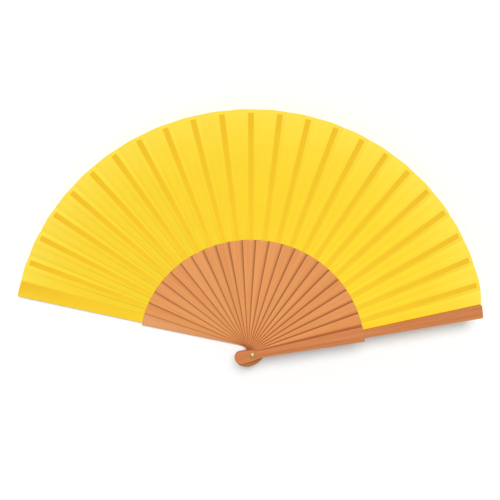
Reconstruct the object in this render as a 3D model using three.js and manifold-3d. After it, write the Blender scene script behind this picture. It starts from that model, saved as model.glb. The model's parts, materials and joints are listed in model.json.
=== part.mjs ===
// A folding hand fan, lying open: two guards and twenty-two sticks turn on one rivet and carry a pleated leaf.
// Millimetres. The rivet's axis is +Z, the back guard's outer face is z = 0, and the fan opens towards +Y.
// Every blade lies flat at its own height, so that the fan can close into a neat stack.
import * as THREE from "three";
import { mergeVertices } from "three/addons/utils/BufferGeometryUtils.js";
import Module from "manifold-3d";

// The layout of the open fan
const STICKS = 22; // thin sticks between the two guards
const PITCH = THREE.MathUtils.degToRad(6.7); // between neighbouring blades
const MIDDLE = Math.PI / 2; // the direction in which the fan opens

// Thicknesses, and the play between blades
const STICK_THICK = 0.9;
const GUARD_THICK = 3;
const PLAY = 0.3;
const UPPER_CUT = 0.2; // off a blade's upper face past the gorge, for the leaf on it
const UNDER_CUT = 0.3; // off a stick's lower face past the gorge, for the fold that passes under it
const LEAF_THICK = 0.25;
const GLUE = 0.05; // between a rib and the leaf on it

// Lengths along a blade, from the rivet's axis
const BUTT = 16.4;
const NECK = 12; // where the gorge starts to widen
const SHOULDER = 102; // where the gorge ends
const SHOULDER_RUN = 0.8; // the slant of the shoulder
const GUARD_TIP = 214;
const LEAF_PROUD = 2.3; // the leaf's rim beyond the guards' tips
const RIB_INSET = 2.8; // the ribs' ends inside the leaf's rim

// Half widths across a blade
const HEAD_HALF = 5.6;
const GUARD_HEAD_HALF = 5.8;
const NECK_HALF = 3.4;
const STICK_SHOULDER_HALF = 7.6;
const GUARD_SHOULDER_HALF = 7.1;
const RIB_HALF = 2.1; // at the shoulder
const RIB_TIP_HALF = 2.5;
const GUARD_ARM_HALF = 3.65; // at the shoulder
const GUARD_TIP_HALF = 6.45;
const GUARD_TIP_ROUND = 1.6;

// The leaf
const LEAF_GAP = 0.4; // between the gorge's end and the leaf
const HEM_PROUD = 2.2; // past the back guard's edge, at its tip

// The rivet and its washers
const SHAFT_RADIUS = 1.2;
const HOLE_CLEARANCE = 0.3;
const HEAD_RADIUS = 2.2;
const HEAD_HEIGHT = 1.1;
const TAIL_THICK = 0.45;
const WASHER_RADIUS = 2.8;
const WASHER_THICK = 0.4;
const SEAT_GAP = 0.05;
const SINK_CLEARANCE = 0.4; // round the back washer in its counterbore

const ROUND_STEPS = 32; // round a full turn of the rivet

const LEVEL = STICK_THICK + PLAY;
const HOLE_RADIUS = SHAFT_RADIUS + HOLE_CLEARANCE;
const LEAF_RADIUS = GUARD_TIP + LEAF_PROUD;
const STICK_TIP = LEAF_RADIUS - RIB_INSET;
const BACK_HEM = Math.atan((GUARD_TIP_HALF + HEM_PROUD) / GUARD_TIP); // past the guard's centre line
const FRONT_HEM = Math.atan(GUARD_ARM_HALF / 2 / SHOULDER); // half way under the front guard's arm
const LEAF_SEAT = STICK_THICK - UPPER_CUT; // the height of a rib's upper face above its stick's lower face
const GUARD_CUT = UPPER_CUT + UNDER_CUT; // off the front guard's lower face, for the leaf glued under it
const FRONT_FLOOR = GUARD_THICK + PLAY + STICKS * LEVEL;
const FRONT_FACE = FRONT_FLOOR + GUARD_THICK;
const SINK_DEPTH = TAIL_THICK + WASHER_THICK + 2 * SEAT_GAP;

const wood = { roughness: 0.55, metalness: 0 };
const STICK_WOOD = new THREE.MeshStandardMaterial({ color: 0xe6a05f, ...wood });
const GUARD_WOOD = new THREE.MeshStandardMaterial({ color: 0xcf7f4b, ...wood });
const LEAF_CLOTH = new THREE.MeshStandardMaterial({ color: 0xf7d23c, roughness: 0.8 });
const BRASS = new THREE.MeshStandardMaterial({ color: 0xd9b45a, roughness: 0.3, metalness: 1 });

const wasm = await Module();
wasm.setup();

const fan = new THREE.Group();

// The direction of blade number 0 (back guard) to STICKS + 1 (front guard).
function bearing(number) {
  return MIDDLE + ((STICKS + 1) / 2 - number) * PITCH;
}

// The lower face of stick number 1 to STICKS.
function stickFloor(number) {
  return GUARD_THICK + PLAY + (number - 1) * LEVEL;
}

function solidOf(geometry) {
  const bare = geometry.clone().deleteAttribute("normal").deleteAttribute("uv");
  const merged = mergeVertices(bare, 1e-5);
  const mesh = { numProp: 3, vertProperties: merged.attributes.position.array };
  return new wasm.Manifold(new wasm.Mesh({ ...mesh, triVerts: new Uint32Array(merged.index.array) }));
}

function geometryOf(solid) {
  const mesh = solid.getMesh();
  const geometry = new THREE.BufferGeometry();
  geometry.setAttribute("position", new THREE.BufferAttribute(mesh.vertProperties, 3));
  return geometry.setIndex(new THREE.BufferAttribute(mesh.triVerts, 1));
}

// A flat plate of the given outline, its lower face at height floor.
function plate(outline, thickness, floor = 0, curveSegments = 8) {
  const options = { depth: thickness, bevelEnabled: false, curveSegments };
  return new THREE.ExtrudeGeometry(outline, options).translate(0, 0, floor);
}

// A blade's outline along +X, with its rivet hole at the origin: round head, neck, widening gorge, shoulder, arm.
function bladeOutline({ butt, headHalf, shoulderHalf, armHalf, tipHalf, tip, tipRound }) {
  const head = headHalf - butt; // the centre of the head's round end
  const half = (NECK - head) / 2;
  const outline = new THREE.Shape();
  outline.moveTo(tip, tipRound - tipHalf);
  outline.lineTo(tip, tipHalf - tipRound);
  if (tipRound > 0) outline.quadraticCurveTo(tip, tipHalf, tip - tipRound, tipHalf);
  outline.lineTo(SHOULDER + SHOULDER_RUN, armHalf);
  outline.lineTo(SHOULDER, shoulderHalf);
  outline.lineTo(NECK, NECK_HALF);
  outline.bezierCurveTo(NECK - half, NECK_HALF, head + half, headHalf, head, headHalf);
  outline.absarc(head, 0, headHalf, Math.PI / 2, (3 * Math.PI) / 2, false);
  outline.bezierCurveTo(head + half, -headHalf, NECK - half, -NECK_HALF, NECK, -NECK_HALF);
  outline.lineTo(SHOULDER, -shoulderHalf);
  outline.lineTo(SHOULDER + SHOULDER_RUN, -armHalf);
  outline.lineTo(tip - tipRound, -tipHalf);
  if (tipRound > 0) outline.quadraticCurveTo(tip, -tipHalf, tip, tipRound - tipHalf);
  const hole = new THREE.Path();
  hole.absarc(0, 0, HOLE_RADIUS, 0, 2 * Math.PI, false);
  outline.holes.push(hole);
  return outline;
}

// What is cut from a blade past its shoulder, between two heights, to make room for the leaf.
function reliefOf(shape, floor, ceiling) {
  const margin = 1;
  const start = SHOULDER + SHOULDER_RUN;
  const length = shape.tip - start + margin;
  const box = new THREE.BoxGeometry(length, 2 * (shape.tipHalf + margin), ceiling - floor);
  return solidOf(box.translate(start + length / 2, 0, (floor + ceiling) / 2));
}

const stickShape = {
  butt: BUTT,
  headHalf: HEAD_HALF,
  shoulderHalf: STICK_SHOULDER_HALF,
  armHalf: RIB_HALF,
  tipHalf: RIB_TIP_HALF,
  tip: STICK_TIP,
  tipRound: 0,
};

const guardShape = {
  butt: BUTT,
  headHalf: GUARD_HEAD_HALF,
  shoulderHalf: GUARD_SHOULDER_HALF,
  armHalf: GUARD_ARM_HALF,
  tipHalf: GUARD_TIP_HALF,
  tip: GUARD_TIP,
  tipRound: GUARD_TIP_ROUND,
};

function stickGeometry() {
  const blank = solidOf(plate(bladeOutline(stickShape), STICK_THICK));
  const over = reliefOf(stickShape, LEAF_SEAT, STICK_THICK + 1);
  return geometryOf(blank.subtract(over).subtract(reliefOf(stickShape, -1, UNDER_CUT)));
}

function backGuardGeometry() {
  const blank = solidOf(plate(bladeOutline(guardShape), GUARD_THICK));
  const relief = reliefOf(guardShape, GUARD_THICK - UPPER_CUT, GUARD_THICK + 1);
  const sink = new THREE.CylinderGeometry(
    WASHER_RADIUS + SINK_CLEARANCE, WASHER_RADIUS + SINK_CLEARANCE, 2 * SINK_DEPTH, ROUND_STEPS);
  return geometryOf(blank.subtract(relief).subtract(solidOf(sink.rotateX(Math.PI / 2))));
}

function frontGuardGeometry() {
  const blank = solidOf(plate(bladeOutline(guardShape), GUARD_THICK));
  return geometryOf(blank.subtract(reliefOf(guardShape, -1, GUARD_CUT)));
}

// One fold's width of leaf, from the angle first to the angle last about the rivet.
function leafGeometry(first, last, floor) {
  const outline = new THREE.Shape();
  outline.absarc(0, 0, LEAF_RADIUS, first, last, false);
  outline.absarc(0, 0, SHOULDER + SHOULDER_RUN + LEAF_GAP, last, first, true);
  return plate(outline, LEAF_THICK, floor, 3);
}

function add(name, geometry, material, parent) {
  const mesh = new THREE.Mesh(geometry, material);
  mesh.name = name;
  parent.add(mesh);
  return mesh;
}

// A group that stands for one blade and what it carries, turned to its place in the open fan.
function bladeGroup(number, floor) {
  const group = new THREE.Group();
  group.rotation.z = bearing(number);
  group.position.z = floor;
  fan.add(group);
  return group;
}

function label(number) {
  return String(number).padStart(2, "0");
}

// Turned about +Z from a closed outline of radius and height.
function turned(points) {
  const profile = points.map(([radius, height]) => new THREE.Vector2(radius, height));
  return new THREE.LatheGeometry(profile, ROUND_STEPS).rotateX(Math.PI / 2);
}

function washer(floor) {
  const ring = [
    [HOLE_RADIUS, floor],
    [WASHER_RADIUS, floor],
    [WASHER_RADIUS, floor + WASHER_THICK],
    [HOLE_RADIUS, floor + WASHER_THICK],
    [HOLE_RADIUS, floor],
  ];
  return turned(ring);
}

// The shaft with a flat tail, flush with the back guard's face, and a domed head on the front washer.
function rivet() {
  const seat = FRONT_FACE + WASHER_THICK + 2 * SEAT_GAP;
  const domeSteps = 5;
  const profile = [
    [0, 0],
    [HEAD_RADIUS, 0],
    [HEAD_RADIUS, TAIL_THICK],
    [SHAFT_RADIUS, TAIL_THICK],
    [SHAFT_RADIUS, seat],
  ];
  for (let step = 0; step <= domeSteps; step++) {
    const angle = (step / domeSteps) * (Math.PI / 2);
    const radius = step === domeSteps ? 0 : HEAD_RADIUS * Math.cos(angle);
    profile.push([radius, seat + HEAD_HEIGHT * Math.sin(angle)]);
  }
  return turned(profile);
}

const backGroup = bladeGroup(0, 0);
add("back_guard", backGuardGeometry(), GUARD_WOOD, backGroup);
const backLeafFloor = GUARD_THICK - UPPER_CUT + GLUE;
add("leaf_fold_00", leafGeometry(-PITCH / 2, BACK_HEM, backLeafFloor), LEAF_CLOTH, backGroup);

for (let number = 1; number <= STICKS; number++) {
  const group = bladeGroup(number, stickFloor(number));
  add("stick_" + label(number), stickGeometry(), STICK_WOOD, group);
  const cloth = leafGeometry(-PITCH / 2, PITCH / 2, LEAF_SEAT + GLUE);
  add("leaf_fold_" + label(number), cloth, LEAF_CLOTH, group);
}

const frontGroup = bladeGroup(STICKS + 1, FRONT_FLOOR);
add("front_guard", frontGuardGeometry(), GUARD_WOOD, frontGroup);
const frontLeafFloor = GUARD_CUT - GLUE - LEAF_THICK;
const frontLeaf = leafGeometry(-FRONT_HEM, PITCH / 2, frontLeafFloor);
add("leaf_fold_" + label(STICKS + 1), frontLeaf, LEAF_CLOTH, frontGroup);

add("rivet", rivet(), BRASS, fan);
add("back_washer", washer(TAIL_THICK + SEAT_GAP), BRASS, fan);
add("front_washer", washer(FRONT_FACE + SEAT_GAP), BRASS, fan);

export default fan;
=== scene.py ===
"""The looks of an open folding hand fan: wooden sticks and guards, a brass rivet and a pleated cotton leaf.

Metres. The rivet's axis is +Z, the floor is z = 0 and the fan opens towards +Y. Blades are numbered from the
back guard, 0, through the thin sticks to the front guard, and each one lies a level above the one before it.
"""

import json
import logging
import math
import random
from collections.abc import Callable
from dataclasses import dataclass, field
from enum import Enum

import bmesh
import bpy
import numpy as np
from mathutils import Matrix, Vector


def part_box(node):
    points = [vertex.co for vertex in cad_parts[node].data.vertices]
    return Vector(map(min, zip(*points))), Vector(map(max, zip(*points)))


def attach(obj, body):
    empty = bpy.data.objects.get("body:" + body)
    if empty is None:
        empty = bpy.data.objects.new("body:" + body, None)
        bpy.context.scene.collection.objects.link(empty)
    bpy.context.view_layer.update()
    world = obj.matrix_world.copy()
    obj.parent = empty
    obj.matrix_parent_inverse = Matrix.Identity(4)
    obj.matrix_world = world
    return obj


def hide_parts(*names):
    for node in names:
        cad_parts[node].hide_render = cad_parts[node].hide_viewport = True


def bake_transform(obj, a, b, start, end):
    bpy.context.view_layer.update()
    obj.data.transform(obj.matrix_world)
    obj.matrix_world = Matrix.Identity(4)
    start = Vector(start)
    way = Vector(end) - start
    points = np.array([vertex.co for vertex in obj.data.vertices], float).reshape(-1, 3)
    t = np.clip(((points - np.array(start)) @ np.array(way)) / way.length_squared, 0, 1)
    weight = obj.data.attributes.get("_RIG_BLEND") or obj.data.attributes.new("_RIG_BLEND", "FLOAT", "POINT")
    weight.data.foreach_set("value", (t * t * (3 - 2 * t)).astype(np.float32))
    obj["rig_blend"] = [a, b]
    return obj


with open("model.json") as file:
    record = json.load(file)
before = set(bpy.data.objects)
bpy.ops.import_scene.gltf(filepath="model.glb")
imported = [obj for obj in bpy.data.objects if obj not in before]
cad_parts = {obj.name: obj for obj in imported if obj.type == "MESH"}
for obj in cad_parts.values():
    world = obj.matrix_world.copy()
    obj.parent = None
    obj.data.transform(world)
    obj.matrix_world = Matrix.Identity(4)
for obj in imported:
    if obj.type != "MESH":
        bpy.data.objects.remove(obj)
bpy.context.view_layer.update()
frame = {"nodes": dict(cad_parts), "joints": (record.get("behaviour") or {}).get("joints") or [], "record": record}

MM = 0.001
GRAIN_PLACE = "grain_place"  # along, across and up in a blade, shifted by its own share of the timber
WALL = "wall"  # 1 on a blade's sawn sides, 0 on its flats and ends
FROM_EDGE = "from_edge"  # how far a spot of a blade lies inside its outline, for a dark band along it that is partly painted shade
FROM_NEXT = "from_next"  # how far it is from the next blade's edge in the spread fan, and how far along: where the wood paints that blade's shadow
CLOTH_PLACE = "cloth_place"  # across from the nearest rib and along it
BACKING = "backing"  # how far a spot of cloth lies inside the edge of the wood behind it

Colour = tuple[float, float, float, float]
Feed = float | tuple | bpy.types.NodeSocket

log = logging.getLogger("fan")


class Slot(Enum):
    """The record's material slots."""

    STICKS = "stick_wood"
    GUARDS = "guard_wood"
    LEAF = "leaf_cloth"
    METAL = "brass"


class Side(Enum):
    """The two guards, by the way their outer faces look."""

    BACK = -1
    FRONT = 1


def colour(red: int, green: int, blue: int) -> Colour:
    """Turns screen values from 0 to 255 into a linear colour.

    Args:
        red: The red value.
        green: The green value.
        blue: The blue value.

    Returns:
        The colour with full alpha.
    """
    shares = (red / 255, green / 255, blue / 255)
    linear = [share / 12.92 if share <= 0.04045 else ((share + 0.055) / 1.055) ** 2.4 for share in shares]
    return (*linear, 1.0)


# --- The fan's layout -------------------------------------------------------------------------------------


@dataclass(frozen=True)
class Blade:
    """One blade's place in the open fan: a stick or a guard."""

    number: int
    body: str
    node: str
    bearing: float
    floor: float

    def place(self) -> Matrix:
        """Returns what carries a blade drawn along +X to its bearing and height."""
        return Matrix.Translation((0, 0, self.floor)) @ Matrix.Rotation(self.bearing, 4, "Z")


@dataclass(frozen=True)
class Layout:
    """What the whole fan shares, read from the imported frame."""

    pitch: float
    leaf_radius: float
    blades: tuple[Blade, ...]

    @property
    def last(self) -> int:
        """The number of the front guard."""
        return len(self.blades) - 1

    @classmethod
    def read(cls) -> "Layout":
        """Works the layout out from the frame's nodes and joints.

        Returns:
            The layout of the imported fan.
        """
        middle = math.pi / 2
        sticks = sorted(name for name in frame["nodes"] if name.startswith("stick_"))
        nodes = ["back_guard", *sticks, "front_guard"]
        pitch = math.radians(max(frame["joints"][0]["range_deg"]))
        owners = {node: body for body, members in frame["record"]["behaviour"]["bodies"].items()
                  for node in members}
        blades = [
            Blade(number, owners[node], node, middle + ((len(nodes) - 1) / 2 - number) * pitch,
                  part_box(node)[0].z)
            for number, node in enumerate(nodes)
        ]
        leaves = [name for name in frame["nodes"] if name.startswith("leaf_fold_")]
        return cls(pitch, max(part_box(name)[1].y for name in leaves), tuple(blades))


# --- Tools of the bench -----------------------------------------------------------------------------------


class Workpiece:
    """A mesh shaped in edit mode, as it would be by hand."""

    LEVEL = 0.01 * MM
    SHARP = math.radians(60)

    def __init__(self, name: str) -> None:
        """Takes up the primitive that was just added and fixes its place in its mesh.

        Args:
            name: The piece's name.
        """
        self.thing = bpy.context.active_object
        self.thing.name = name
        self.thing.data.name = name
        bpy.ops.object.transform_apply(location=True, rotation=True, scale=True)

    def edit(self) -> None:
        """Enters edit mode on this piece alone, ready to pick faces."""
        if self.thing.mode != "EDIT":
            take_up(self.thing)
            bpy.ops.object.mode_set(mode="EDIT")
            bpy.ops.mesh.select_mode(type="FACE")

    def leave(self) -> None:
        """Goes back to object mode."""
        if self.thing.mode == "EDIT":
            bpy.ops.object.mode_set(mode="OBJECT")

    def picking(self, kind: str) -> bmesh.types.BMesh:
        """Starts a new selection, with nothing in it yet.

        Args:
            kind: FACE or EDGE.

        Returns:
            The mesh in edit mode.
        """
        self.edit()
        bpy.ops.mesh.select_mode(type=kind)
        bpy.ops.mesh.select_all(action="DESELECT")
        return bmesh.from_edit_mesh(self.thing.data)

    def pick_faces(self, wanted: Callable[[Vector, Vector], bool]) -> None:
        """Selects the faces that pass a test.

        Args:
            wanted: Says yes or no to a face's centre and normal.
        """
        mesh = self.picking("FACE")
        for face in mesh.faces:
            face.select_set(wanted(face.calc_center_median(), face.normal))
        bmesh.update_edit_mesh(self.thing.data)

    def pick_rim(self, level: float) -> None:
        """Selects the sharp edges that lie in one horizontal plane.

        Args:
            level: The height of the plane.
        """
        mesh = self.picking("EDGE")
        for edge in mesh.edges:
            flat = all(abs(vertex.co.z - level) < self.LEVEL for vertex in edge.verts)
            edge.select_set(flat and edge.calc_face_angle(0) > self.SHARP)
        bmesh.update_edit_mesh(self.thing.data)

    def draw_out(self, step: tuple[float, float, float], scale: tuple[float, float, float],
                 centre: tuple[float, float, float]) -> None:
        """Extrudes what is selected, then resizes the new end.

        Args:
            step: How far the end moves.
            scale: The end's new size as a share of its old one.
            centre: The point that the end is resized about, once it has moved.
        """
        bpy.ops.mesh.extrude_region_move(TRANSFORM_OT_translate={"value": step})
        bpy.ops.transform.resize(value=scale, center_override=centre)


def take_up(thing: bpy.types.Object) -> None:
    """Selects one object alone and makes it the active one.

    Args:
        thing: The object.
    """
    bpy.ops.object.select_all(action="DESELECT")
    thing.select_set(True)
    bpy.context.view_layer.objects.active = thing


def apply_modifier(thing: bpy.types.Object, kind: str, **settings: object) -> None:
    """Adds a modifier to an object and applies it.

    Args:
        thing: The object.
        kind: Blender's name for the modifier.
        **settings: The modifier's settings.
    """
    take_up(thing)
    modifier = thing.modifiers.new(kind.lower(), kind)
    for name, value in settings.items():
        setattr(modifier, name, value)
    bpy.ops.object.modifier_apply(modifier=modifier.name)


def bore(thing: bpy.types.Object, radius: float, low: float, high: float, sides: int = 48) -> None:
    """Cuts a round hole about the rivet's axis.

    Args:
        thing: The object that is cut.
        radius: The hole's radius.
        low: The height where the cut starts.
        high: The height where it ends.
        sides: How many flats stand for the round wall.
    """
    bpy.ops.object.select_all(action="DESELECT")
    bpy.ops.mesh.primitive_cylinder_add(
        vertices=sides, radius=radius, depth=high - low, location=(0, 0, (low + high) / 2))
    cutter = bpy.context.active_object
    apply_modifier(thing, "BOOLEAN", operation="DIFFERENCE", solver="EXACT", object=cutter)
    bpy.data.objects.remove(cutter)


def soften(thing: bpy.types.Object, degrees: float) -> None:
    """Shades an object smooth, but for the edges that turn more than the given angle."""
    take_up(thing)
    bpy.ops.object.shade_smooth_by_angle(angle=math.radians(degrees))


def ease_edges(thing: bpy.types.Object, width: float, degrees: float) -> None:
    """Bevels the edges of an object that turn more than the given angle."""
    apply_modifier(thing, "BEVEL", width=width, segments=2, limit_method="ANGLE",
                   angle_limit=math.radians(degrees), use_clamp_overlap=True)


def twin(pattern: bpy.types.Object, name: str) -> bpy.types.Object:
    """Copies a finished piece, with a mesh of its own.

    Args:
        pattern: The piece that is copied.
        name: The copy's name.

    Returns:
        The copy.
    """
    copy = pattern.copy()
    copy.data = pattern.data.copy()
    copy.name = copy.data.name = name
    bpy.context.scene.collection.objects.link(copy)
    return copy


def points_of(mesh: bpy.types.Mesh) -> np.ndarray:
    """Reads where a mesh's vertices lie.

    Args:
        mesh: The mesh.

    Returns:
        One row of three numbers for each vertex.
    """
    flat = np.zeros(len(mesh.vertices) * 3)
    mesh.vertices.foreach_get("co", flat)
    return flat.reshape(-1, 3)


def write_attribute(mesh: bpy.types.Mesh, name: str, kind: str, domain: str, values: np.ndarray) -> None:
    """Stores numbers on a mesh for its material to read.

    Args:
        mesh: The mesh.
        name: The attribute's name.
        kind: FLOAT or FLOAT_VECTOR.
        domain: POINT or FACE.
        values: One row for each point or face.
    """
    attribute = mesh.attributes.get(name) or mesh.attributes.new(name, kind, domain)
    field_name = "vector" if kind == "FLOAT_VECTOR" else "value"
    attribute.data.foreach_set(field_name, np.ascontiguousarray(values, np.float32).ravel())


# --- Finishes ---------------------------------------------------------------------------------------------


class Wiring:
    """Adds and joins the nodes of one material or node group."""

    def __init__(self, tree: bpy.types.NodeTree) -> None:
        """Takes the tree that the nodes go into."""
        self.tree = tree

    def node(self, kind: str, **settings: object) -> bpy.types.Node:
        """Adds a node.

        Args:
            kind: Blender's name for the node.
            **settings: The node's settings.

        Returns:
            The node.
        """
        made = self.tree.nodes.new(kind)
        for name, value in settings.items():
            setattr(made, name, value)
        return made

    def feed(self, target: bpy.types.NodeSocket, value: Feed) -> None:
        """Gives a socket a plain value, or joins another socket to it.

        Args:
            target: The socket.
            value: The value or the other socket.
        """
        if isinstance(value, bpy.types.NodeSocket):
            self.tree.links.new(value, target)
        else:
            target.default_value = value

    def calc(self, operation: str, *values: Feed, clamp: bool = False) -> bpy.types.NodeSocket:
        """Adds a Math node.

        Args:
            operation: Blender's name for the operation.
            *values: Numbers or sockets, in order.
            clamp: Whether the result is kept from 0 to 1.

        Returns:
            The result's socket.
        """
        made = self.node("ShaderNodeMath", operation=operation, use_clamp=clamp)
        for socket, value in zip(made.inputs, values):
            self.feed(socket, value)
        return made.outputs[0]

    def remap(self, value: Feed, low: Feed, high: Feed, to_low: float = 0, to_high: float = 1,
              smooth: bool = True) -> bpy.types.NodeSocket:
        """Maps one span of numbers to another, with flat ends.

        Args:
            value: What is mapped.
            low: The start of its span.
            high: The end of its span.
            to_low: What the start becomes.
            to_high: What the end becomes.
            smooth: Whether the way between them is eased, or else straight.

        Returns:
            The result's socket.
        """
        made = self.node("ShaderNodeMapRange", interpolation_type="SMOOTHSTEP" if smooth else "LINEAR")
        for socket, number in zip(made.inputs, (value, low, high, to_low, to_high)):
            self.feed(socket, number)
        return made.outputs[0]

    def mix(self, share: Feed, first: Feed, second: Feed, how: str = "MIX") -> bpy.types.NodeSocket:
        """Mixes two colours.

        Args:
            share: How much of the second colour is used, from 0 to 1.
            first: The first colour.
            second: The second colour.
            how: Blender's name for the way of mixing.

        Returns:
            The result's socket.
        """
        made = self.node("ShaderNodeMix", data_type="RGBA", blend_type=how)
        self.feed(made.inputs[0], share)
        self.feed(made.inputs[6], first)
        self.feed(made.inputs[7], second)
        return made.outputs[2]

    def noise(self, place: Feed, stretch: tuple[float, float, float], detail: float = 3,
              roughness: float = 0.55) -> bpy.types.NodeSocket:
        """Adds noise.

        Args:
            place: The place that the noise is read at.
            stretch: The number of waves a metre along each axis.
            detail: How many finer layers lie on it.
            roughness: How strong each finer layer is.

        Returns:
            The socket of the noise's value.
        """
        scaled = self.node("ShaderNodeVectorMath", operation="MULTIPLY")
        self.feed(scaled.inputs[0], place)
        scaled.inputs[1].default_value = stretch
        made = self.node("ShaderNodeTexNoise")
        self.tree.links.new(scaled.outputs[0], made.inputs["Vector"])
        for name, value in {"Scale": 1.0, "Detail": detail, "Roughness": roughness}.items():
            made.inputs[name].default_value = value
        return made.outputs["Fac"]

    def read(self, name: str) -> bpy.types.Node:
        """Adds the node that reads one of the piece's own attributes."""
        return self.node("ShaderNodeAttribute", attribute_type="GEOMETRY", attribute_name=name)

    def apart(self, vector: bpy.types.NodeSocket) -> tuple[bpy.types.NodeSocket, ...]:
        """Splits a vector.

        Args:
            vector: The vector's socket.

        Returns:
            The sockets of its three numbers.
        """
        made = self.node("ShaderNodeSeparateXYZ")
        self.tree.links.new(vector, made.inputs[0])
        return tuple(made.outputs)

    def group(self, group: bpy.types.NodeTree, **values: Feed) -> bpy.types.Node:
        """Places a node group.

        Args:
            group: The group.
            **values: Its values, under their names in lower case with underscores.

        Returns:
            The group's node.
        """
        made = self.node("ShaderNodeGroup", node_tree=group)
        for name, value in values.items():
            self.feed(made.inputs[name.replace("_", " ").capitalize()], value)
        return made

    def bump(self, shader: bpy.types.Node, height: Feed, strength: float, relief: float) -> None:
        """Gives a shader's surface its fine relief.

        Args:
            shader: The shader's node.
            height: The height's socket.
            strength: How much of the relief is used, from 0 to 1.
            relief: How high its tallest place stands.
        """
        made = self.node("ShaderNodeBump")
        made.inputs["Strength"].default_value = strength
        made.inputs["Distance"].default_value = relief
        self.feed(made.inputs["Height"], height)
        self.feed(shader.inputs["Normal"], made.outputs[0])


def new_group(name: str, inputs: dict[str, str], outputs: dict[str, str]) -> tuple[
        Wiring, bpy.types.NodeTree, bpy.types.Node, bpy.types.Node]:
    """Starts a shader node group.

    Args:
        name: The group's name.
        inputs: The kind of each input socket, by its name.
        outputs: The kind of each output socket, by its name.

    Returns:
        The group's wiring, the group, and its input and output nodes.
    """
    tree = bpy.data.node_groups.new(name, "ShaderNodeTree")
    for label, kind in inputs.items():
        tree.interface.new_socket(label, in_out="INPUT", socket_type="NodeSocket" + kind)
    for label, kind in outputs.items():
        tree.interface.new_socket(label, in_out="OUTPUT", socket_type="NodeSocket" + kind)
    wiring = Wiring(tree)
    return wiring, tree, wiring.node("NodeGroupInput"), wiring.node("NodeGroupOutput")


def unevenness_group() -> bpy.types.NodeTree:
    """Builds the slow drift of tone that timber, cloth and metal share.

    Returns:
        A group that takes Place and the Size of the drift in metres, and gives a Tone from 0 to 1.
    """
    wiring, tree, entry, leave = new_group(
        "unevenness", {"Place": "Vector", "Size": "Float"}, {"Tone": "Float"})
    scaled = wiring.node("ShaderNodeVectorMath", operation="SCALE")
    wiring.feed(scaled.inputs[0], entry.outputs["Place"])
    wiring.feed(scaled.inputs["Scale"], wiring.calc("DIVIDE", 1.0, entry.outputs["Size"]))
    broad = wiring.noise(scaled.outputs[0], (1, 1, 1), detail=2)
    wiring.feed(leave.inputs["Tone"], wiring.remap(broad, 0.3, 0.7))
    return tree


def timber_group() -> bpy.types.NodeTree:
    """Builds fine straight grain, running along a blade.

    Returns:
        A group that takes Place, Light, Dark and Contrast, and gives the timber's Colour and its Height.
    """
    wiring, tree, entry, leave = new_group(
        "timber", {"Place": "Vector", "Light": "Color", "Dark": "Color", "Contrast": "Float"},
        {"Colour": "Color", "Height": "Float"})
    place = entry.outputs["Place"]
    rings = wiring.noise(place, (9, 330, 120), detail=3)
    fibres = wiring.noise(place, (55, 2100, 700), detail=2)
    plank = wiring.noise(place, (5, 40, 40), detail=1)
    flecks = wiring.remap(wiring.noise(place, (230, 2900, 900), detail=1), 0.66, 0.74)
    streaks = wiring.calc("ADD", wiring.calc("MULTIPLY", rings, 0.55), wiring.calc("MULTIPLY", fibres, 0.25))
    tone = wiring.remap(wiring.calc("ADD", streaks, wiring.calc("MULTIPLY", plank, 0.2)), 0.36, 0.64)
    share = wiring.calc("MULTIPLY", tone, entry.outputs["Contrast"], clamp=True)
    ground = wiring.mix(share, entry.outputs["Light"], entry.outputs["Dark"])
    flecked = wiring.mix(wiring.calc("MULTIPLY", flecks, 0.35), ground, entry.outputs["Dark"])
    wiring.feed(leave.inputs["Colour"], flecked)
    wiring.feed(leave.inputs["Height"], wiring.calc("SUBTRACT", fibres, flecks))
    return tree


def new_material(name: str, **constants: float) -> tuple[bpy.types.Material, Wiring, bpy.types.Node]:
    """Starts a material on one Principled BSDF.

    Args:
        name: The material's name.
        **constants: Values of the shader's own sockets, in lower case with underscores.

    Returns:
        The material, its wiring and its shader node.
    """
    material = bpy.data.materials.new(name)
    material.use_nodes = True
    shader = material.node_tree.nodes["Principled BSDF"]
    labels = {socket.name.lower().replace(" ", "_"): socket for socket in shader.inputs}
    for label, value in constants.items():
        labels[label].default_value = value
    return material, Wiring(material.node_tree), shader


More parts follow.
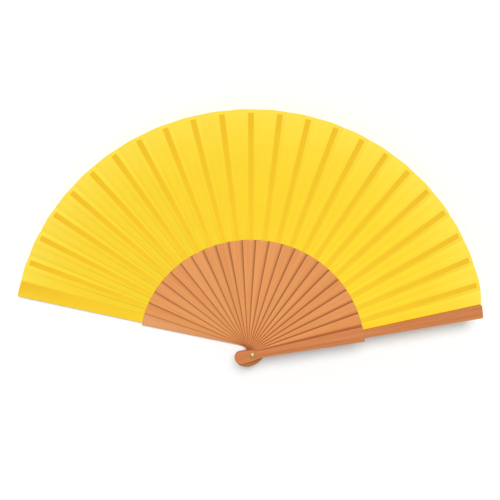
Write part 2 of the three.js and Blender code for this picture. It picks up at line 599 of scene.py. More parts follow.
@dataclass(frozen=True)
class TimberFinish:
    """Oiled and sanded wood, darker on its sawn sides, with a dark band along its outline that is partly painted
    shade, and a painted shadow beside the next blade's edge.
    """

    name: str
    light: Colour
    dark: Colour
    # colour of the sawn sides; the dark edge band and the painted shadow are mixed towards it too
    sides: Colour
    contrast: float
    roughness: float
    sawn: float = 0.3
    # the dark band inside the outline: partly the cut edge's own colour, partly painted shade at the step down to
    # the blade below
    toned: float = 0.8
    toned_reach: float = 0.5 * MM
    # painted shadow that the next blade's edge casts on this one in the spread fan: strength, width, growth along
    # the blade, falloff and onset
    painted_shadow: float = 0.8
    painted_shadow_reach: float = 3.0 * MM
    painted_shadow_span: tuple[float, float] = (10 * MM, 90 * MM)
    painted_shadow_start: float = 0.2
    painted_shadow_curve: float = 1.4
    painted_shadow_onset: tuple[float, float] = (-0.8 * MM, -0.2 * MM)
    wall_span: tuple[float, float] = (0.35, 0.95)
    drift_size: float = 0.03
    drift_gloss: float = 0.06
    specular: float = 0.35
    bump: float = 0.5
    relief: float = 0.02 * MM

    def material(self, timber: bpy.types.NodeTree, unevenness: bpy.types.NodeTree) -> bpy.types.Material:
        """Builds the wood.

        Args:
            timber: The grain's node group.
            unevenness: The drift's node group.

        Returns:
            The material.
        """
        material, wiring, shader = new_material(self.name, specular_ior_level=self.specular)
        place = wiring.read(GRAIN_PLACE).outputs["Vector"]
        grain = wiring.group(timber, place=place, light=self.light, dark=self.dark, contrast=self.contrast)
        drift = wiring.group(unevenness, place=place, size=self.drift_size).outputs["Tone"]
        wall = wiring.remap(wiring.read(WALL).outputs["Fac"], *self.wall_span)
        # dark band inside the outline, partly the cut edge's own colour and partly painted shade
        rim = wiring.remap(wiring.read(FROM_EDGE).outputs["Fac"], 0.0, self.toned_reach, 1, 0)
        share = wiring.calc("MAXIMUM", wiring.calc("MULTIPLY", wall, self.sawn),
                            wiring.calc("MULTIPLY", rim, self.toned))
        # painted shadow beside the next blade's edge, wider further out along the blade
        gap, along, _ = wiring.apart(wiring.read(FROM_NEXT).outputs["Vector"])
        reach = wiring.remap(along, *self.painted_shadow_span, self.painted_shadow_start * self.painted_shadow_reach, self.painted_shadow_reach,
                             smooth=False)
        shadow_share = wiring.calc("POWER", wiring.remap(gap, 0, reach, 1, 0, smooth=False), self.painted_shadow_curve)
        shadow_share = wiring.calc("MULTIPLY", shadow_share, wiring.remap(gap, *self.painted_shadow_onset))
        share = wiring.calc("MAXIMUM", share, wiring.calc("MULTIPLY", shadow_share, self.painted_shadow))
        # sawn sides, the dark edge band and the painted shadow all take the darker colour
        sawn = wiring.mix(share, grain.outputs["Colour"], self.sides)
        wiring.feed(shader.inputs["Base Color"], sawn)
        gloss = (self.roughness - self.drift_gloss, self.roughness + self.drift_gloss)
        wiring.feed(shader.inputs["Roughness"], wiring.remap(drift, 0, 1, *gloss))
        wiring.bump(shader, grain.outputs["Height"], self.bump, self.relief)
        return material


@dataclass(frozen=True)
class ClothFinish:
    """Fine cotton that lets the ribs glued behind it show as darker strips."""

    name: str
    ground: Colour
    pale: Colour
    strip: Colour
    strip_inner: Colour
    thread: float = 0.33 * MM
    inner_radius: float = 103 * MM
    rib_tip: float = 213.5 * MM
    crisp: float = 0.35 * MM
    soft: float = 1.1 * MM
    pale_curve: float = 4.0
    drift_size: float = 0.022
    drift_depth: float = 0.025
    slub_depth: float = 0.03
    weave_depth: float = 0.03
    level: float = 0.975
    bump: float = 0.35
    relief: float = 0.05 * MM

    def weave(self, wiring: Wiring, across: bpy.types.NodeSocket,
              along: bpy.types.NodeSocket) -> bpy.types.NodeSocket:
        """Adds a plain weave's over and under, from -1 to 1.

        Args:
            wiring: The material's wiring.
            across: The place across the ribs.
            along: The place along them.

        Returns:
            The weave's socket.
        """
        waves = [wiring.calc("SINE", wiring.calc("MULTIPLY", way, math.pi / self.thread))
                 for way in (across, along)]
        return wiring.calc("MULTIPLY", *waves)

    def material(self, unevenness: bpy.types.NodeTree) -> bpy.types.Material:
        """Builds the cloth.

        Args:
            unevenness: The drift's node group.

        Returns:
            The material.
        """
        material, wiring, shader = new_material(
            self.name, roughness=0.82, specular_ior_level=0.15, sheen_weight=0.12, sheen_roughness=0.5)
        place = wiring.read(CLOTH_PLACE).outputs["Vector"]
        across, along, _ = wiring.apart(place)
        outward = wiring.remap(along, self.inner_radius, self.rib_tip, smooth=False)
        edge = wiring.calc("ADD", self.soft, wiring.calc("MULTIPLY", outward, self.crisp - self.soft))
        backing = wiring.read(BACKING).outputs["Fac"]
        behind = wiring.remap(backing, wiring.calc("MULTIPLY", edge, -1.0), edge)
        ended = wiring.remap(along, self.rib_tip - self.crisp, self.rib_tip + self.crisp, 1, 0)
        drift = wiring.group(unevenness, place=place, size=self.drift_size).outputs["Tone"]
        ground = wiring.mix(wiring.calc("POWER", outward, self.pale_curve), self.ground, self.pale)
        strip = wiring.mix(outward, self.strip_inner, self.strip)
        shown = wiring.mix(wiring.calc("MULTIPLY", behind, ended), ground, strip)
        weave = self.weave(wiring, across, along)
        slub = wiring.noise(place, (900, 90, 1), detail=2)
        tone = wiring.calc("ADD", wiring.calc("MULTIPLY", drift, self.drift_depth),
                           wiring.calc("MULTIPLY", slub, self.slub_depth))
        tone = wiring.calc("ADD", tone, wiring.calc("MULTIPLY", weave, self.weave_depth))
        level = wiring.calc("ADD", tone, self.level)
        wiring.feed(shader.inputs["Base Color"], wiring.mix(1.0, shown, level, how="MULTIPLY"))
        wiring.bump(shader, wiring.calc("ADD", weave, slub), self.bump, self.relief)
        return material


@dataclass(frozen=True)
class BrassFinish:
    """Pressed brass, a little dulled where hands don't reach."""

    name: str
    bright: Colour
    dull: Colour
    drift_size: float = 0.0012
    gloss: tuple[float, float] = (0.3, 0.46)
    bump: float = 0.2
    relief: float = 0.01 * MM

    def material(self, unevenness: bpy.types.NodeTree) -> bpy.types.Material:
        """Builds the metal.

        Args:
            unevenness: The drift's node group.

        Returns:
            The material.
        """
        material, wiring, shader = new_material(self.name, metallic=1.0)
        place = wiring.node("ShaderNodeTexCoord").outputs["Object"]
        drift = wiring.group(unevenness, place=place, size=self.drift_size).outputs["Tone"]
        scuffs = wiring.noise(place, (5000, 900, 5000), detail=4)
        wiring.feed(shader.inputs["Base Color"], wiring.mix(drift, self.bright, self.dull))
        wiring.feed(shader.inputs["Roughness"], wiring.remap(scuffs, 0.3, 0.7, *self.gloss))
        wiring.bump(shader, scuffs, self.bump, self.relief)
        return material


@dataclass(frozen=True)
class Palette:
    """Every finish of the fan, made once."""

    sticks: bpy.types.Material
    back_guard: bpy.types.Material
    front_guard: bpy.types.Material
    leaf: bpy.types.Material
    metal: bpy.types.Material

    @classmethod
    def mixed(cls) -> "Palette":
        """Builds the node groups and the materials.

        Returns:
            The palette.
        """
        timber, unevenness = timber_group(), unevenness_group()
        sticks = TimberFinish("stick_wood", colour(231, 155, 90), colour(211, 131, 69),
                              colour(142, 74, 32), contrast=0.55, roughness=0.5)
        # the back guard carries a fainter painted shadow of the first stick's edge
        back = TimberFinish("back_guard_wood", colour(228, 158, 102), colour(208, 132, 78),
                            colour(196, 124, 72), contrast=0.6, roughness=0.45, toned=0, painted_shadow=0.45)
        front = TimberFinish("front_guard_wood", colour(212, 134, 80), colour(188, 110, 58),
                             colour(146, 78, 38), contrast=0.8, roughness=0.42, toned=0)
        leaf = ClothFinish("leaf_cloth", colour(248, 211, 45), colour(252, 222, 72),
                           strip=colour(239, 191, 36), strip_inner=colour(246, 201, 40))
        metal = BrassFinish("brass", colour(255, 208, 142), colour(242, 184, 116))
        woods = [finish.material(timber, unevenness) for finish in (sticks, back, front)]
        return cls(*woods, leaf.material(unevenness), metal.material(unevenness))


def dress(piece: bpy.types.Object, material: bpy.types.Material) -> None:
    """Gives a piece its one material.

    Args:
        piece: The piece.
        material: Its material.
    """
    piece.data.materials.clear()
    piece.data.materials.append(material)


# --- Sticks and guards ------------------------------------------------------------------------------------


@dataclass(frozen=True)
class Station:
    """A blade's cross-section at one place along it: half its width, and its lower and upper faces."""

    along: float
    half: float
    low: float
    high: float


@dataclass
class BladeShape:
    """The outline and thickness of a blade drawn along +X, with the rivet's axis at the origin."""

    butt: float
    head_half: float
    shoulder_half: float
    arm_half: float
    tip_half: float
    tip: float
    thick: float
    arm_low: float
    arm_high: float
    tip_round: float = 0.0
    tip_fullness: float = 0.22
    neck: float = 12 * MM
    neck_half: float = 3.4 * MM
    shoulder: float = 102.75 * MM
    hole_radius: float = 1.5 * MM
    head_steps: int = 14
    neck_steps: int = 8
    tip_steps: int = 7

    def half_of_arm(self, along: float | np.ndarray) -> float | np.ndarray:
        """Returns half the arm's width at a distance from the rivet."""
        share = (along - self.shoulder) / (self.tip - self.shoulder)
        return self.arm_half + (self.tip_half - self.arm_half) * share

    def head(self) -> list[Station]:
        """Works out the round head and the hollow curve into the neck.

        Returns:
            Their stations.
        """
        centre = self.head_half - self.butt
        made = []
        for step in range(self.head_steps):
            turn = math.pi / 2 * (step + 0.5) / self.head_steps
            made.append(Station(centre - self.head_half * math.cos(turn), self.head_half * math.sin(turn),
                                0, self.thick))
        made.append(Station(centre, self.head_half, 0, self.thick))
        for step in range(1, self.neck_steps + 1):
            share = step / self.neck_steps
            onward = 1.5 * share * (1 - share) + share**3
            ease = share * share * (3 - 2 * share)
            made.append(Station(centre + (self.neck - centre) * onward,
                                self.head_half + (self.neck_half - self.head_half) * ease, 0, self.thick))
        return made

    def gorge(self) -> list[Station]:
        """Works out the shoulder, cut to an arc about the rivet, and the step to the arm.

        Returns:
            Their stations.
        """
        made = []
        for half in (self.shoulder_half, (self.shoulder_half + self.arm_half) / 2, self.arm_half):
            made.append(Station(math.sqrt(self.shoulder**2 - half**2), half, 0, self.thick))
        step = 0.06 * MM
        made.append(Station(made[-1].along + step, self.arm_half, self.arm_low, self.arm_high))
        return made

    def arm(self) -> list[Station]:
        """Works out the arm's end, square or rounded.

        Returns:
            Its stations.
        """
        if not self.tip_round:
            return [Station(self.tip, self.tip_half, self.arm_low, self.arm_high)]
        made = []
        for step in range(self.tip_steps + 1):
            turn = math.pi / 2 * step / (self.tip_steps + 0.5)
            along = self.tip - self.tip_round * (1 - math.sin(turn))
            made.append(Station(along, self.half_of_arm(along) * math.cos(turn) ** self.tip_fullness,
                                self.arm_low, self.arm_high))
        return made

    def blank(self, name: str) -> Workpiece:
        """Draws the blade out of a block, station by station.

        Args:
            name: The blade's name.

        Returns:
            The blade, still square-edged and without its hole.
        """
        first, *others = [*self.head(), *self.gorge(), *self.arm()]
        second = others[0]
        bpy.ops.object.select_all(action="DESELECT")
        bpy.ops.mesh.primitive_cube_add(
            size=1, location=((first.along + second.along) / 2, 0, (first.low + first.high) / 2),
            scale=(second.along - first.along, 2 * first.half, first.high - first.low))
        piece = Workpiece(name)
        piece.pick_faces(lambda centre, normal: normal.x > 0.9)
        self.resize_end(first, second)
        for before, after in zip(others, others[1:]):
            bpy.ops.mesh.extrude_region_move(
                TRANSFORM_OT_translate={"value": (after.along - before.along, 0, 0)})
            self.resize_end(before, after)
        bpy.ops.mesh.select_all(action="SELECT")
        bpy.ops.mesh.dissolve_limited(angle_limit=math.radians(0.2))
        return piece

    @staticmethod
    def border(piece: Workpiece, width: float) -> None:
        """Marks off a border inside the outline on the blade's flats."""
        piece.pick_faces(lambda centre, normal: abs(normal.z) > 0.9)
        bpy.ops.mesh.inset(thickness=width, use_even_offset=True)

    def from_edge(self, points: np.ndarray) -> np.ndarray:
        """Measures how far points lie inside the outline, across the blade.

        Args:
            points: One row for each point.

        Returns:
            The distance of each point, 0 outside.
        """
        stations = [*self.head(), *self.gorge(), *self.arm()]
        halves = np.interp(points[:, 0], [station.along for station in stations],
                           [station.half for station in stations])
        return np.maximum(0, halves - np.abs(points[:, 1]))

    def from_next(self, points: np.ndarray, pitch: float) -> np.ndarray:
        """Measures how far points lie outside the nearer edge of the next blade of a spread fan, where that
        blade's shadow is painted.

        Args:
            points: One row for each point.
            pitch: The angle to the next blade.

        Returns:
            The distance of each point, less than 0 under that blade.
        """
        along = points[:, 0] * math.cos(pitch) - points[:, 1] * math.sin(pitch)
        across = points[:, 0] * math.sin(pitch) + points[:, 1] * math.cos(pitch)
        flare = (self.shoulder_half - self.neck_half) / (self.shoulder - self.neck)
        return across - self.neck_half - flare * (along - self.neck)

    @staticmethod
    def resize_end(before: Station, after: Station) -> None:
        """Brings the selected end from one station's width and faces to the next one's.

        Args:
            before: The station that the end still has the shape of.
            after: The station that it gets the shape of.
        """
        old, new = before.high - before.low, after.high - after.low
        lift = ((after.low + after.high) - (before.low + before.high)) / 2
        centre = (after.along, 0, (before.low + before.high) / 2)
        bpy.ops.transform.resize(value=(1, after.half / before.half, new / old), center_override=centre)
        if abs(lift) > 1e-9:
            bpy.ops.transform.translate(value=(0, 0, lift))


def mark_timber(piece: bpy.types.Object, shape: BladeShape, shift: tuple[float, float, float],
                place: Matrix, pitch: float) -> None:
    """Stores where each spot of a blade lies in its timber, and how near to its edges and to the next blade, which
    the wood reads for its partly painted edge shade and its painted shadow.

    Args:
        piece: The blade, drawn along +X.
        shape: The blade's outline.
        shift: The blade's own place in the timber.
        place: What then carries the blade to its place in the fan.
        pitch: The angle to the next blade of the spread fan, or 0 for the last.
    """
    mesh = piece.data
    write_attribute(mesh, GRAIN_PLACE, "FLOAT_VECTOR", "POINT", points_of(mesh) + np.array(shift))
    write_attribute(mesh, FROM_EDGE, "FLOAT", "POINT", shape.from_edge(points_of(mesh)))
    gap = shape.from_next(points_of(mesh), pitch) if pitch else np.full(len(mesh.vertices), 1.0)
    write_attribute(mesh, FROM_NEXT, "FLOAT_VECTOR", "POINT",
                    np.column_stack([gap, points_of(mesh)[:, 0], np.zeros_like(gap)]))
    write_attribute(mesh, WALL, "FLOAT", "FACE", np.array([abs(face.normal.y) for face in mesh.polygons]))
    mesh.transform(place)


@dataclass
class Sticks:
    """The thin sticks between the guards: one is cut, and the others are its copies."""

    layout: Layout
    palette: Palette
    seed: int = 11
    edge: float = 0.13 * MM
    border: float = 1.0 * MM
    timber_size: tuple[float, float, float] = (4.0, 0.6, 0.6)
    shape: BladeShape = field(default_factory=lambda: BladeShape(
        butt=16.4 * MM, head_half=5.6 * MM, shoulder_half=7.6 * MM, arm_half=2.1 * MM, tip_half=2.5 * MM,
        tip=213.5 * MM, thick=0.9 * MM, arm_low=0.3 * MM, arm_high=0.7 * MM))

    def build(self) -> list[bpy.types.Object]:
        """Makes every stick, rides it on its body and dresses it.

        Returns:
            The sticks, from the back guard on.
        """
        piece = self.shape.blank("stick_pattern")
        self.shape.border(piece, self.border)
        piece.leave()
        pattern = piece.thing
        bore(pattern, self.shape.hole_radius, -self.shape.thick, 2 * self.shape.thick)
        ease_edges(pattern, self.edge, 40)
        soften(pattern, 35)
        chance = random.Random(self.seed)
        made = []
        for blade in self.layout.blades[1:-1]:
            stick = twin(pattern, "wood_" + blade.node)
            shift = tuple(chance.uniform(0, size) for size in self.timber_size)
            mark_timber(stick, self.shape, shift, blade.place(), self.layout.pitch)
            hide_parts(blade.node)
            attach(stick, blade.body)
            dress(stick, self.palette.sticks)
            made.append(stick)
        bpy.data.objects.remove(pattern)
        return made


@dataclass
class Guard:
    """One of the two thick outer blades."""

    layout: Layout
    palette: Palette
    side: Side
    thick: float = 3 * MM
    upper_cut: float = 0.2 * MM
    under_cut: float = 0.5 * MM
    outer_round: float = 0.9 * MM
    edge: float = 0.2 * MM
    sink_radius: float = 3.2 * MM
    sink_depth: float = 0.95 * MM
    timber_place: tuple[float, float, float] = (2.0, 0.3, 0.1)

    def shape(self) -> BladeShape:
        """Works out this guard's outline, with room for the leaf cut from its inner face.

        Returns:
            The outline.
        """
        back = self.side is Side.BACK
        return BladeShape(
            butt=16.4 * MM, head_half=5.8 * MM, shoulder_half=7.1 * MM, arm_half=3.65 * MM,
            tip_half=6.45 * MM, tip=214 * MM, thick=self.thick, tip_round=1.6 * MM,
            arm_low=0 if back else self.under_cut, arm_high=self.thick - (self.upper_cut if back else 0))

    def build(self) -> bpy.types.Object:
        """Makes the guard, rides it on its body and dresses it.

        Returns:
            The guard.
        """
        blade = self.layout.blades[0 if self.side is Side.BACK else -1]
        shape = self.shape()
        piece = shape.blank("wood_" + blade.node)
        piece.pick_rim(0 if self.side is Side.BACK else self.thick)
        bpy.ops.mesh.bevel(offset=self.outer_round, segments=4, affect="EDGES", clamp_overlap=True)
        piece.leave()
        guard = piece.thing
        bore(guard, shape.hole_radius, -self.thick, 2 * self.thick)
        if self.side is Side.BACK:
            bore(guard, self.sink_radius, -self.thick, self.sink_depth)
        ease_edges(guard, self.edge, 50)
        soften(guard, 35)
        pitch = self.layout.pitch if self.side is Side.BACK else 0
        along, across, up = self.timber_place
        mark_timber(guard, shape, (along * self.side.value, across, up), blade.place(), pitch)
        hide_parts(blade.node)
        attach(guard, blade.body)
        finish = self.palette.back_guard if self.side is Side.BACK else self.palette.front_guard
        dress(guard, finish)
        return guard


# --- The rivet --------------------------------------------------------------------------------------------


@dataclass
class Rivet:
    """The brass rivet that every blade turns on, and its two washers."""

    layout: Layout
    palette: Palette
    shaft_radius: float = 1.2 * MM
    tail_radius: float = 2.2 * MM
    tail_thick: float = 0.45 * MM
    head_radius: float = 2.2 * MM
    head_height: float = 1.1 * MM
    dimple_depth: float = 0.35 * MM
    dimple_share: float = 0.55
    washer_radius: float = 2.8 * MM
    washer_hole: float = 1.5 * MM
    washer_thick: float = 0.4 * MM
    edge: float = 0.06 * MM
    sides: int = 56
    dome_steps: int = 9
    crown_step: float = 0.6

    def turned(self, name: str, profile: list[tuple[float, float]], solid: bool) -> bpy.types.Object:
        """Turns a piece about the rivet's axis by drawing one ring out of the last.

        Args:
            name: The piece's name.
            profile: Radius and height of each ring, in order.
            solid: Whether the first and last rings are closed with a face, or else joined to each other.

        Returns:
            The piece.
        """
        (radius, height), *rest = profile
        bpy.ops.object.select_all(action="DESELECT")
        bpy.ops.mesh.primitive_circle_add(
            vertices=self.sides, radius=radius, location=(0, 0, height),
            fill_type="NGON" if solid else "NOTHING")
        piece = Workpiece(name)
        piece.edit()
        if not solid:
            bpy.ops.mesh.select_mode(type="EDGE")
            rest.append(profile[0])
        bpy.ops.mesh.select_all(action="SELECT")
        for new_radius, new_height in rest:
            share = new_radius / radius
            piece.draw_out((0, 0, new_height - height), (share, share, 1), (0, 0, new_height))
            radius, height = new_radius, new_height
        bpy.ops.mesh.select_all(action="SELECT")
        bpy.ops.mesh.remove_doubles(threshold=0.001 * MM)
        bpy.ops.mesh.normals_make_consistent(inside=False)
        piece.leave()
        return piece.thing

    def finish(self, piece: bpy.types.Object, node: str) -> bpy.types.Object:
        """Eases a turned piece's edges, rides it on its body and dresses it.

        Args:
            piece: The piece.
            node: The CAD node that it stands for.

        Returns:
            The same piece.
        """
        ease_edges(piece, self.edge, 50)
        soften(piece, 40)
        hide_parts(node)
        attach(piece, self.layout.blades[0].body)
        dress(piece, self.palette.metal)
        return piece

    def pin(self) -> bpy.types.Object:
        """Makes the rivet: a flat tail, the shaft, and a domed head with a shallow dimple.

        Returns:
            The rivet.
        """
        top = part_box("rivet")[1].z
        seat = top - self.head_height
        profile = [(self.tail_radius, 0), (self.tail_radius, self.tail_thick),
                   (self.shaft_radius, self.tail_thick), (self.shaft_radius, seat), (self.head_radius, seat)]
        for step in range(1, self.dome_steps + 1):
            radius = self.head_radius * math.cos(math.pi / 2 * step / (self.dome_steps + self.crown_step))
            share = radius / self.head_radius
            dome = self.head_height * math.sqrt(1 - share**2)
            dimple = self.dimple_depth * max(0, 1 - (share / self.dimple_share) ** 2) ** 2
            profile.append((radius, seat + dome - dimple))
        return self.finish(self.turned("brass_rivet", profile, solid=True), "rivet")

    def washer(self, node: str) -> bpy.types.Object:
        """Makes one flat washer where its CAD node lies.

        Args:
            node: The washer's CAD node.

        Returns:
            The washer.
        """
        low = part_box(node)[0].z
        high = low + self.washer_thick
        ring = [(self.washer_hole, low), (self.washer_radius, low), (self.washer_radius, high),
                (self.washer_hole, high)]
        return self.finish(self.turned("brass_" + node, ring, solid=False), node)

    def build(self) -> list[bpy.types.Object]:
        """Makes the rivet and both washers, and returns them."""
        return [self.pin(), self.washer("back_washer"), self.washer("front_washer")]


# --- The leaf ---------------------------------------------------------------------------------------------


@dataclass
class Leaf:
    """The pleated leaf, one piece of cloth for each blade.

    A piece starts at the valley fold beside the blade before it. Its free face, half a pitch wide, climbs to
    the mountain fold at its own blade, and its glued face crosses that blade to the next valley. The free
    face turns over as the two blades close, so it lies between their glued faces when the fan is shut.
    """

    layout: Layout
    palette: Palette
    rib: BladeShape
    guard: BladeShape
    guard_under: float
    mountain: float = math.radians(1.65)
    hem: tuple[float, float] = (5.0 * MM, 8.8 * MM)
    front_hem: float = math.radians(1.0)
    inner: float = 102.85 * MM
    cloth: float = 0.16 * MM
    glue: float = 0.04 * MM
    rise: float = -0.03
    droop: float = 0.14
    crease: float = 0.19 * MM
    crease_share: float = 0.05
    under_fold: float = 0.1 * MM
    fold_share: float = 0.9
    under_rib: tuple[float, float] = (0.26 * MM, 0.55 * MM)
    scallop: float = 0.35 * MM
    guard_blur: float = 0.35
    hem_blur: float = 0.035
    bolt_step: float = 0.37
    free_columns: int = 20
    glued_columns: int = 22
    rows: int = 40

    @property
    def valley(self) -> float:
        """The angle from a blade's middle to the valley fold past it."""
        return self.layout.pitch / 2 - self.mountain

    def backing_half(self, number: int, radius: np.ndarray) -> np.ndarray:
        """Returns half the width of the wood that a blade's cloth is glued to."""
        guard = number in (0, self.layout.last)
        return (self.guard if guard else self.rib).half_of_arm(radius)

    def glued_height(self, number: int, angle: np.ndarray, radius: np.ndarray) -> np.ndarray:
        """Returns the height of a glued face's middle.

        Args:
            number: The blade's number.
            angle: The angle from the blade's middle, positive towards the back guard.
            radius: The distance from the rivet's axis.

        Returns:
            The height above the floor.
        """
        blade = self.layout.blades[number]
        if number == self.layout.last:
            return np.full_like(radius, blade.floor + self.guard_under - self.glue - self.cloth / 2)
        top = self.guard.arm_high if number == 0 else self.rib.arm_high
        across = radius * np.sin(angle)
        over = np.maximum(0, np.abs(across) - self.backing_half(number, radius))
        slope = np.where(across > 0, self.rise, -self.droop)
        return blade.floor + top + self.glue + self.cloth / 2 + slope * over

    def free_height(self, number: int, share: np.ndarray, radius: np.ndarray) -> np.ndarray:
        """Returns the height of the middle of the free face before a blade.

        Args:
            number: The number of the blade that the face climbs to.
            share: From 0 at the valley to 1 at the mountain fold.
            radius: The distance from the rivet's axis.

        Returns:
            The height above the floor, clear of the blades above and below when the fan is shut.
        """
        shut = share * (self.valley + self.mountain) - self.valley
        below = self.glued_height(number - 1, shut, radius)
        top = np.full_like(share, self.mountain)
        whole = self.glued_height(number, top, radius) - self.glued_height(number - 1, top, radius)
        near = np.arcsin(self.rib.half_of_arm(radius) / radius)
        entry = (self.valley - near) / (self.valley + self.mountain)
        leave = (self.valley + near) / (self.valley + self.mountain)
        low, high = self.under_rib
        lift = np.array([
            np.interp(at, [0, self.crease_share, start, end, 1],
                      [0, self.crease, low, min(high, full - self.under_fold), full])
            for at, start, end, full in zip(share, entry, np.minimum(leave, self.fold_share), whole)
        ])
        return below + lift

    def hem_angle(self, share: np.ndarray) -> np.ndarray:
        """Returns the angle from the back guard's middle to the leaf's straight hem.

        Args:
            share: From 0 at the leaf's inner edge to 1 at its rim.

        Returns:
            The angle.
        """
        radius = self.inner + (self.layout.leaf_radius - self.inner) * share
        return np.arcsin((self.hem[0] + (self.hem[1] - self.hem[0]) * share) / radius)

    def rim(self, number: int, share_of_free: np.ndarray, angle: np.ndarray) -> np.ndarray:
        """Returns the rim's radius, a little further out at the mountain folds than in the valleys.

        Args:
            number: The blade's number.
            share_of_free: From 0 at the valley to 1 at the mountain fold and past it.
            angle: The angle from the blade's middle.

        Returns:
            The radius.
        """
        fall = np.clip((self.mountain - angle) / (self.mountain + self.valley), 0, 1)
        height = np.where(share_of_free < 1, share_of_free, 1 - fall) - 0.5
        short = self.layout.leaf_radius - self.guard.tip
        ease = np.clip(share_of_free, 0, 1) * short if number == self.layout.last else 0
        return self.layout.leaf_radius + self.scallop * height - ease

    def sheet(self, number: int) -> bpy.types.Object:
        """Makes the piece of cloth that one blade carries.

        Args:
            number: The blade's number.

        Returns:
            The piece.
        """
        blade = self.layout.blades[number]
        free = 0 if number == 0 else self.free_columns
        columns = free + self.glued_columns
        bpy.ops.object.select_all(action="DESELECT")
        bpy.ops.mesh.primitive_grid_add(x_subdivisions=columns, y_subdivisions=self.rows, size=1)
        piece = Workpiece(f"cloth_pleat_{number:02d}").thing
        flat = points_of(piece.data)
        column = (flat[:, 0] + 0.5) * columns
        start = self.hem_angle(flat[:, 1] + 0.5) if number == 0 else self.mountain
        end = self.front_hem if number == self.layout.last else self.valley
        share = np.clip(column / free, 0, 1) if free else np.ones(len(flat))
        onward = np.clip((column - free) / self.glued_columns, 0, 1)
        pleat = self.valley + self.mountain
        angle = np.where(column < free, self.mountain + pleat * (1 - share), start - (start + end) * onward)
        outer = self.rim(number, share, angle)
        radius = self.inner + (outer - self.inner) * (flat[:, 1] + 0.5)
        height = self.glued_height(number, angle, radius)
        if free:
            height = np.where(column < free, self.free_height(number, share, radius), height)
        turn = blade.bearing + angle
        points = np.column_stack([radius * np.cos(turn), radius * np.sin(turn), height])
        piece.data.vertices.foreach_set("co", points.ravel())
        across = radius * np.sin(angle)
        place = np.column_stack([across, radius, np.full_like(radius, self.bolt_step * number)])
        backing = self.backing_half(number, radius) - np.abs(across)
        if number == 0:
            hem = radius * np.sin(self.hem_angle(flat[:, 1] + 0.5)) - across
            backing = np.minimum(self.guard_blur * (self.backing_half(number, radius) + across),
                                 self.hem_blur * hem)
            place[:, 1] -= self.layout.leaf_radius - self.rib.tip + self.scallop
        write_attribute(piece.data, CLOTH_PLACE, "FLOAT_VECTOR", "POINT", place)
        write_attribute(piece.data, BACKING, "FLOAT", "POINT", backing)
        piece.data.update()
        apply_modifier(piece, "SOLIDIFY", thickness=self.cloth, offset=0)
        soften(piece, 40)
        return piece

    def hinge(self, piece: bpy.types.Object, number: int) -> None:
        """Bends a piece between its two blades, so that its free face turns over as they close.

        Args:
            piece: The cloth.
            number: The number of the blade that carries it.
        """
        before, blade = self.layout.blades[number - 1], self.layout.blades[number]
        folds = [blade.bearing + self.mountain + share * self.layout.pitch / 2 for share in (1, 0)]
        reach = (self.inner + self.layout.leaf_radius) / 2
        ends = [(reach * math.cos(turn), reach * math.sin(turn), blade.floor) for turn in folds]
        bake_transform(piece, before.body, blade.body, start=ends[0], end=ends[1])
        points = points_of(piece.data)
        turned = folds[0] - np.arctan2(points[:, 1], points[:, 0])
        weights = np.clip(turned / (self.layout.pitch / 2), 0, 1)
        write_attribute(piece.data, "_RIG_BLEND", "FLOAT", "POINT", weights)

    def build(self) -> list[bpy.types.Object]:
        """Returns:
            The pieces, from the back guard on.
        """
        made = []
        for blade in self.layout.blades:
            piece = self.sheet(blade.number)
            if blade.number == 0:
                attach(piece, blade.body)
            else:
                self.hinge(piece, blade.number)
            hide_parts(f"leaf_fold_{blade.number:02d}")
            dress(piece, self.palette.leaf)
            made.append(piece)
        return made


# --- The studio -------------------------------------------------------------------------------------------


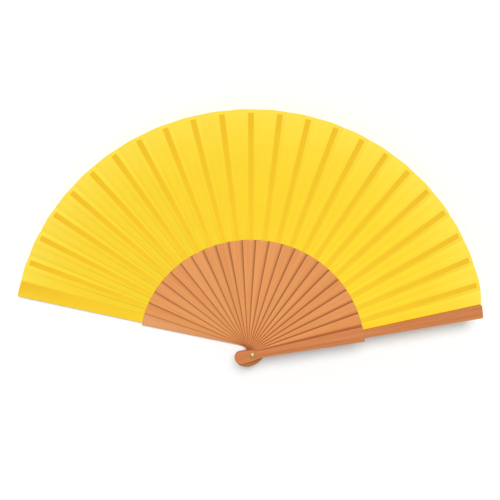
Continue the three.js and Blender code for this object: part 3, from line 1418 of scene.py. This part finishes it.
@dataclass
class Studio:
    """A pale floor, soft light from above and the camera."""

    eye: tuple[float, float, float] = (-0.0575, 0.206, 0.560)
    look: tuple[float, float, float] = (0.0916, -0.2018, -0.9751)
    up: tuple[float, float, float] = (-0.0389, 0.9778, -0.2060)
    lens: float = 44.95
    floor_size: float = 6.0
    paper: float = 0.97
    fill: float = 0.32
    key_strength: float = 2.62
    key_falls: tuple[float, float, float] = (0.12, -0.54, -1.0)
    key_spread: float = 26.0

    def camera(self) -> None:
        """Sets the camera up."""
        data = bpy.data.cameras.new("camera")
        data.lens = self.lens
        data.clip_start, data.clip_end = 0.01, 20
        camera = bpy.data.objects.new("camera", data)
        bpy.context.scene.collection.objects.link(camera)
        back = -Vector(self.look).normalized()
        right = Vector(self.up).cross(back).normalized()
        upward = back.cross(right)
        turn = Matrix((right, upward, back)).transposed().to_4x4()
        camera.matrix_world = Matrix.Translation(self.eye) @ turn
        bpy.context.scene.camera = camera

    def floor(self) -> None:
        """Lays the floor."""
        bpy.ops.object.select_all(action="DESELECT")
        bpy.ops.mesh.primitive_plane_add(size=self.floor_size)
        floor = bpy.context.active_object
        floor.name = "floor"
        material, _, shader = new_material("floor_paper", roughness=0.9, specular_ior_level=0.0)
        shader.inputs["Base Color"].default_value = (self.paper, self.paper, self.paper, 1)
        floor.data.materials.append(material)

    def lights(self) -> None:
        """Hangs the soft key light and fills the room with even light."""
        world = bpy.data.worlds.new("room")
        world.use_nodes = True
        background = world.node_tree.nodes["Background"]
        background.inputs["Color"].default_value = (1, 1, 1, 1)
        background.inputs["Strength"].default_value = self.fill
        bpy.context.scene.world = world
        data = bpy.data.lights.new("key", "SUN")
        data.energy = self.key_strength
        data.angle = math.radians(self.key_spread)
        key = bpy.data.objects.new("key", data)
        bpy.context.scene.collection.objects.link(key)
        key.matrix_world = Vector(self.key_falls).to_track_quat("-Z", "Y").to_matrix().to_4x4()

    def build(self) -> None:
        """Sets up the camera, the floor and the lights."""
        self.camera()
        self.floor()
        self.lights()
        bpy.context.scene.view_settings.view_transform = "Standard"


def main() -> None:
    """Builds the studio and the fan, in order, and reports each piece."""
    logging.basicConfig(level=logging.INFO, format="%(name)s: %(message)s")
    Studio().build()
    layout = Layout.read()
    palette = Palette.mixed()
    sticks = Sticks(layout, palette)
    guards = [Guard(layout, palette, side) for side in Side]
    rivet = Rivet(layout, palette)
    leaf = Leaf(layout, palette, rib=sticks.shape, guard=guards[0].shape(), guard_under=guards[0].under_cut)
    pieces = [*sticks.build(), *(guard.build() for guard in guards), *rivet.build(), *leaf.build()]
    for piece in pieces:
        log.info("%s: %d faces", piece.name, len(piece.data.polygons))


if __name__ == "__main__":
    main()
